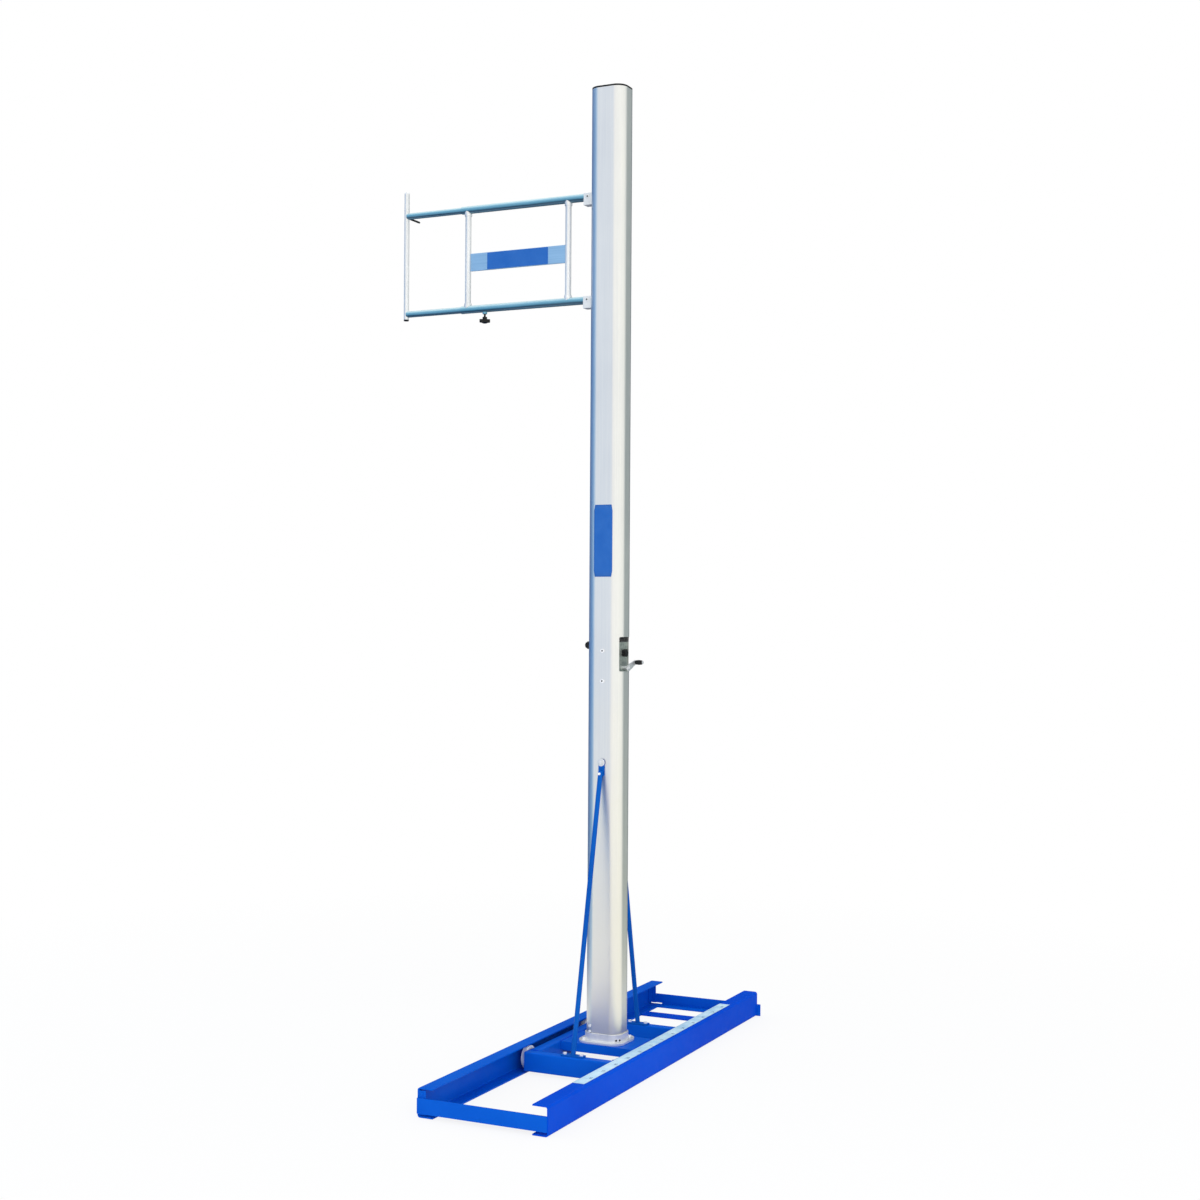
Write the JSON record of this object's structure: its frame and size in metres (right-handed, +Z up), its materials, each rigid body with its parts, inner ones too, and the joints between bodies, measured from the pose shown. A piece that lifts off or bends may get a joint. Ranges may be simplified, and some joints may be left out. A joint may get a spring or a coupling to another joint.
{
  "type": "pole vault standard",
  "caption": "Rolling pole vault standard: rail base, wheeled carriage, slotted mast with hand winch, lifting telescopic arm with crossbar peg",
  "frame": {"origin": "On the floor below the middle of the bounding box", "axes": "+Z up; Y along the rails, +Y towards the landing side that the peg points to; the arm reaches towards -X, the crank is on the +X side"},
  "size_m": [1.1669, 1.9, 3.64],
  "materials": {
    "blue_paint": "satin powder coat",
    "anodised_aluminium": "satin anodised",
    "tube_aluminium": "drawn tube",
    "zinc_steel": "zinc plated",
    "steel_rope": "stranded rope",
    "white_nylon": "turned nylon",
    "black_plastic": "moulded",
    "tape_film": "printed film"
  },
  "bodies": {
    "base": {"near_rail": "blue_paint", "far_rail": "blue_paint", "front_bar": "blue_paint", "rear_bar": "blue_paint", "floor_tie": "blue_paint", "measuring_tape": "tape_film", "end_stop_front": "blue_paint", "end_stop_rear": "blue_paint"},
    "carriage": {"front_beam": "blue_paint", "rear_beam": "blue_paint", "near_side_member": "blue_paint", "far_side_member": "blue_paint", "saddle_plate": "blue_paint", "mast_foot": "anodised_aluminium", "front_stay": "blue_paint", "rear_stay": "blue_paint", "front_stay_bolt": "zinc_steel", "rear_stay_bolt": "zinc_steel", "axle_near_front": "zinc_steel", "axle_near_rear": "zinc_steel", "axle_far_front": "zinc_steel", "axle_far_rear": "zinc_steel", "mast": "anodised_aluminium", "mast_cap": "black_plastic", "pulley_bracket": "zinc_steel", "cable_up": "steel_rope", "cable_down": "steel_rope", "lock_block": "zinc_steel", "winch_frame": "zinc_steel"},
    "crank": {"winch_drum": "zinc_steel", "crank_shaft": "zinc_steel", "crank_arm": "zinc_steel"},
    "grip": {"crank_grip": "black_plastic"},
    "brake": {"brake_knob": "black_plastic"},
    "lock": {"lock_knob": "black_plastic"},
    "pulley": {"head_pulley": "white_nylon"},
    "slider": {"slider_bar": "zinc_steel", "upper_bracket": "anodised_aluminium", "lower_bracket": "anodised_aluminium", "upper_sleeve": "tube_aluminium", "lower_sleeve": "tube_aluminium", "inner_upright": "anodised_aluminium", "outer_upright": "anodised_aluminium", "sign_plate": "tube_aluminium"},
    "extension": {"upper_inner_tube": "tube_aluminium", "lower_inner_tube": "tube_aluminium", "end_tube": "anodised_aluminium", "top_end_cap": "white_nylon", "bottom_end_cap": "black_plastic", "bar_peg": "black_plastic"},
    "clamp": {"clamp_screw": "black_plastic"},
    "wheel_near_front": {"wheel_near_front": "white_nylon"},
    "wheel_near_rear": {"wheel_near_rear": "white_nylon"},
    "wheel_far_front": {"wheel_far_front": "white_nylon"},
    "wheel_far_rear": {"wheel_far_rear": "white_nylon"}
  },
  "joints": [
    {"name": "roll_carriage", "type": "slide", "parent": "base", "child": "carriage", "axis": [0, 1, 0], "range_m": [-0.58, 0.58]},
    {"name": "lift_arm", "type": "slide", "parent": "carriage", "child": "slider", "axis": [0, 0, 1], "range_m": [-1.1, 0.18], "deforming": ["cable_down"]},
    {"name": "extend_arm", "type": "slide", "parent": "slider", "child": "extension", "axis": [-1, 0, 0], "range_m": [-0.235, 0.15]},
    {"name": "turn_crank", "type": "hinge", "parent": "carriage", "child": "crank", "pos_m": [0.3255, 0, 1.47], "axis": [1, 0, 0], "range_deg": [-2906, 482]},
    {"name": "turn_head_pulley", "type": "hinge", "parent": "carriage", "child": "pulley", "pos_m": [0.3185, 0, 3.564], "axis": [0, 1, 0], "range_deg": [-2342, 390]},
    {"name": "spin_grip", "type": "hinge", "parent": "crank", "child": "grip", "pos_m": [0.3255, 0.05484, 1.48888], "axis": [1, 0, 0], "continuous": true},
    {"name": "turn_brake_knob", "type": "hinge", "parent": "carriage", "child": "brake", "pos_m": [0.3255, 0, 1.525], "axis": [1, 0, 0], "range_deg": [-180, 180]},
    {"name": "turn_lock_knob", "type": "hinge", "parent": "carriage", "child": "lock", "pos_m": [0.3255, 0, 1.552], "axis": [-1, 0, 0], "range_deg": [-180, 180]},
    {"name": "turn_clamp_screw", "type": "hinge", "parent": "slider", "child": "clamp", "pos_m": [-0.2165, 0, 2.8], "axis": [0, 0, 1], "range_deg": [-180, 180]},
    {"name": "roll_wheel_near_front", "type": "hinge", "parent": "carriage", "child": "wheel_near_front", "pos_m": [0.5275, -0.243, 0.0473], "axis": [1, 0, 0], "range_deg": [-799, 799]},
    {"name": "roll_wheel_near_rear", "type": "hinge", "parent": "carriage", "child": "wheel_near_rear", "pos_m": [0.5275, 0.243, 0.0473], "axis": [1, 0, 0], "range_deg": [-799, 799]},
    {"name": "roll_wheel_far_front", "type": "hinge", "parent": "carriage", "child": "wheel_far_front", "pos_m": [0.1235, -0.243, 0.0473], "axis": [1, 0, 0], "range_deg": [-799, 799]},
    {"name": "roll_wheel_far_rear", "type": "hinge", "parent": "carriage", "child": "wheel_far_rear", "pos_m": [0.1235, 0.243, 0.0473], "axis": [1, 0, 0], "range_deg": [-799, 799]}
  ],
  "couplings": [
    {"joint": "turn_crank", "follows": "lift_arm", "rad_per_m": 45.977},
    {"joint": "turn_head_pulley", "follows": "lift_arm", "rad_per_m": 37.037},
    {"joint": "roll_wheel_near_front", "follows": "roll_carriage", "rad_per_m": -23.809},
    {"joint": "roll_wheel_near_rear", "follows": "roll_carriage", "rad_per_m": -23.809},
    {"joint": "roll_wheel_far_front", "follows": "roll_carriage", "rad_per_m": -23.809},
    {"joint": "roll_wheel_far_rear", "follows": "roll_carriage", "rad_per_m": -23.809}
  ]
}
